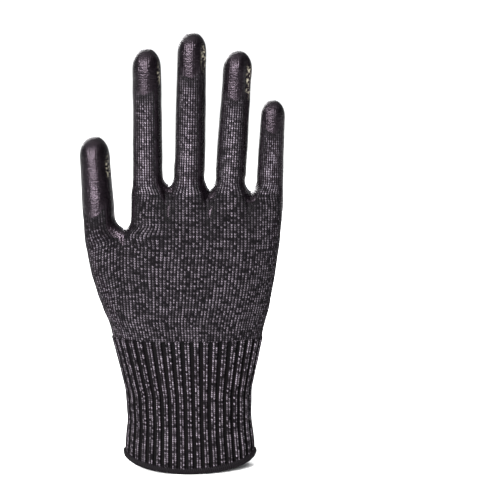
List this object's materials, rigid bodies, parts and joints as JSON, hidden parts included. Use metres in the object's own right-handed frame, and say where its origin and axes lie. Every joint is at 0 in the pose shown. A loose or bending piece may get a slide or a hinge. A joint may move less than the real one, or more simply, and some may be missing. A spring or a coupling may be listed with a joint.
{
  "type": "cut resistant glove",
  "caption": "Right-hand knitted work glove with a ribbed cuff, an overlocked hem and a thin coating on the palm and fingertips, bending at the wrist and at every finger joint.",
  "frame": {"origin": "centre of the wrist opening, level with the lowest part of the hem", "axes": "+X towards the little finger, +Y towards the palm side, +Z from the hem to the fingertips"},
  "size_m": [0.1158, 0.0416, 0.2458],
  "materials": {
    "knit": "plain knit of black and grey heather yarn",
    "rib_knit": "ribbed knit of black and grey heather yarn",
    "coating": "thin satin black polyurethane with a fine pebble",
    "hem_thread": "dense black overlock thread",
    "elastic_yarn": "covered elastic yarn"
  },
  "bodies": {
    "cuff": {"knit_cuff": "rib_knit", "hem_binding": "hem_thread", "cuff_elastic_1": "elastic_yarn", "cuff_elastic_2": "elastic_yarn", "cuff_elastic_3": "elastic_yarn", "cuff_elastic_4": "elastic_yarn", "cuff_elastic_5": "elastic_yarn"},
    "hand": {"knit_hand": "knit", "coating_hand": "coating"},
    "index_base": {"knit_index_base": "knit", "coating_index_base": "coating"},
    "index_middle": {"knit_index_middle": "knit", "coating_index_middle": "coating"},
    "index_tip": {"knit_index_tip": "knit", "coating_index_tip": "coating"},
    "middle_base": {"knit_middle_base": "knit", "coating_middle_base": "coating"},
    "middle_middle": {"knit_middle_middle": "knit", "coating_middle_middle": "coating"},
    "middle_tip": {"knit_middle_tip": "knit", "coating_middle_tip": "coating"},
    "ring_base": {"knit_ring_base": "knit", "coating_ring_base": "coating"},
    "ring_middle": {"knit_ring_middle": "knit", "coating_ring_middle": "coating"},
    "ring_tip": {"knit_ring_tip": "knit", "coating_ring_tip": "coating"},
    "little_base": {"knit_little_base": "knit", "coating_little_base": "coating"},
    "little_middle": {"knit_little_middle": "knit", "coating_little_middle": "coating"},
    "little_tip": {"knit_little_tip": "knit", "coating_little_tip": "coating"},
    "thumb_base": {"knit_thumb_base": "knit", "coating_thumb_base": "coating"},
    "thumb_tip": {"knit_thumb_tip": "knit", "coating_thumb_tip": "coating"}
  },
  "joints": [
    {"name": "wrist_bend", "type": "hinge", "parent": "cuff", "child": "hand", "pos_m": [0, 0, 0.062], "axis": [-1, 0, 0], "range_deg": [-30, 40]},
    {"name": "index_knuckle_bend", "type": "hinge", "parent": "hand", "child": "index_base", "pos_m": [-0.0228, 0.00879, 0.164], "axis": [-1, 0, -0.0028], "range_deg": [0, 85]},
    {"name": "index_middle_bend", "type": "hinge", "parent": "index_base", "child": "index_middle", "pos_m": [-0.02288, 0.00847, 0.19432], "axis": [-1, 0, -0.0028], "range_deg": [0, 95]},
    {"name": "index_tip_bend", "type": "hinge", "parent": "index_middle", "child": "index_tip", "pos_m": [-0.02294, 0.00826, 0.21454], "axis": [-1, 0, -0.0028], "range_deg": [0, 57]},
    {"name": "middle_knuckle_bend", "type": "hinge", "parent": "hand", "child": "middle_base", "pos_m": [0.0002, 0.00879, 0.164], "axis": [-0.9996, 0, 0.0272], "range_deg": [0, 85]},
    {"name": "middle_middle_bend", "type": "hinge", "parent": "middle_base", "child": "middle_middle", "pos_m": [0.00112, 0.00855, 0.19802], "axis": [-0.9996, 0, 0.0272], "range_deg": [0, 95]},
    {"name": "middle_tip_bend", "type": "hinge", "parent": "middle_middle", "child": "middle_tip", "pos_m": [0.00174, 0.00839, 0.2207], "axis": [-0.9996, 0, 0.0272], "range_deg": [0, 57]},
    {"name": "ring_knuckle_bend", "type": "hinge", "parent": "hand", "child": "ring_base", "pos_m": [0.023, 0.00879, 0.1615], "axis": [-0.9979, 0, 0.0652], "range_deg": [0, 85]},
    {"name": "ring_middle_bend", "type": "hinge", "parent": "ring_base", "child": "ring_middle", "pos_m": [0.02502, 0.00855, 0.19237], "axis": [-0.9979, 0, 0.0652], "range_deg": [0, 95]},
    {"name": "ring_tip_bend", "type": "hinge", "parent": "ring_middle", "child": "ring_tip", "pos_m": [0.02636, 0.00839, 0.21295], "axis": [-0.9979, 0, 0.0652], "range_deg": [0, 57]},
    {"name": "little_knuckle_bend", "type": "hinge", "parent": "hand", "child": "little_base", "pos_m": [0.0449, 0.00784, 0.1605], "axis": [-0.999, 0, 0.0442], "range_deg": [0, 85]},
    {"name": "little_middle_bend", "type": "hinge", "parent": "little_base", "child": "little_middle", "pos_m": [0.04578, 0.00748, 0.18045], "axis": [-0.999, 0, 0.0442], "range_deg": [0, 95]},
    {"name": "little_tip_bend", "type": "hinge", "parent": "little_middle", "child": "little_tip", "pos_m": [0.04637, 0.00724, 0.19375], "axis": [-0.999, 0, 0.0442], "range_deg": [0, 57]},
    {"name": "thumb_base_bend", "type": "hinge", "parent": "hand", "child": "thumb_base", "pos_m": [-0.04374, 0.01225, 0.13893], "axis": [0.7039, -0.7039, 0.0953], "range_deg": [-60, 0]},
    {"name": "thumb_tip_bend", "type": "hinge", "parent": "thumb_base", "child": "thumb_tip", "pos_m": [-0.04548, 0.01376, 0.16293], "axis": [0.7039, -0.7039, 0.0953], "range_deg": [-75, 0]}
  ],
  "couplings": [
    {"joint": "index_tip_bend", "follows": "index_middle_bend", "ratio": 0.6},
    {"joint": "middle_tip_bend", "follows": "middle_middle_bend", "ratio": 0.6},
    {"joint": "ring_tip_bend", "follows": "ring_middle_bend", "ratio": 0.6},
    {"joint": "little_tip_bend", "follows": "little_middle_bend", "ratio": 0.6}
  ]
}
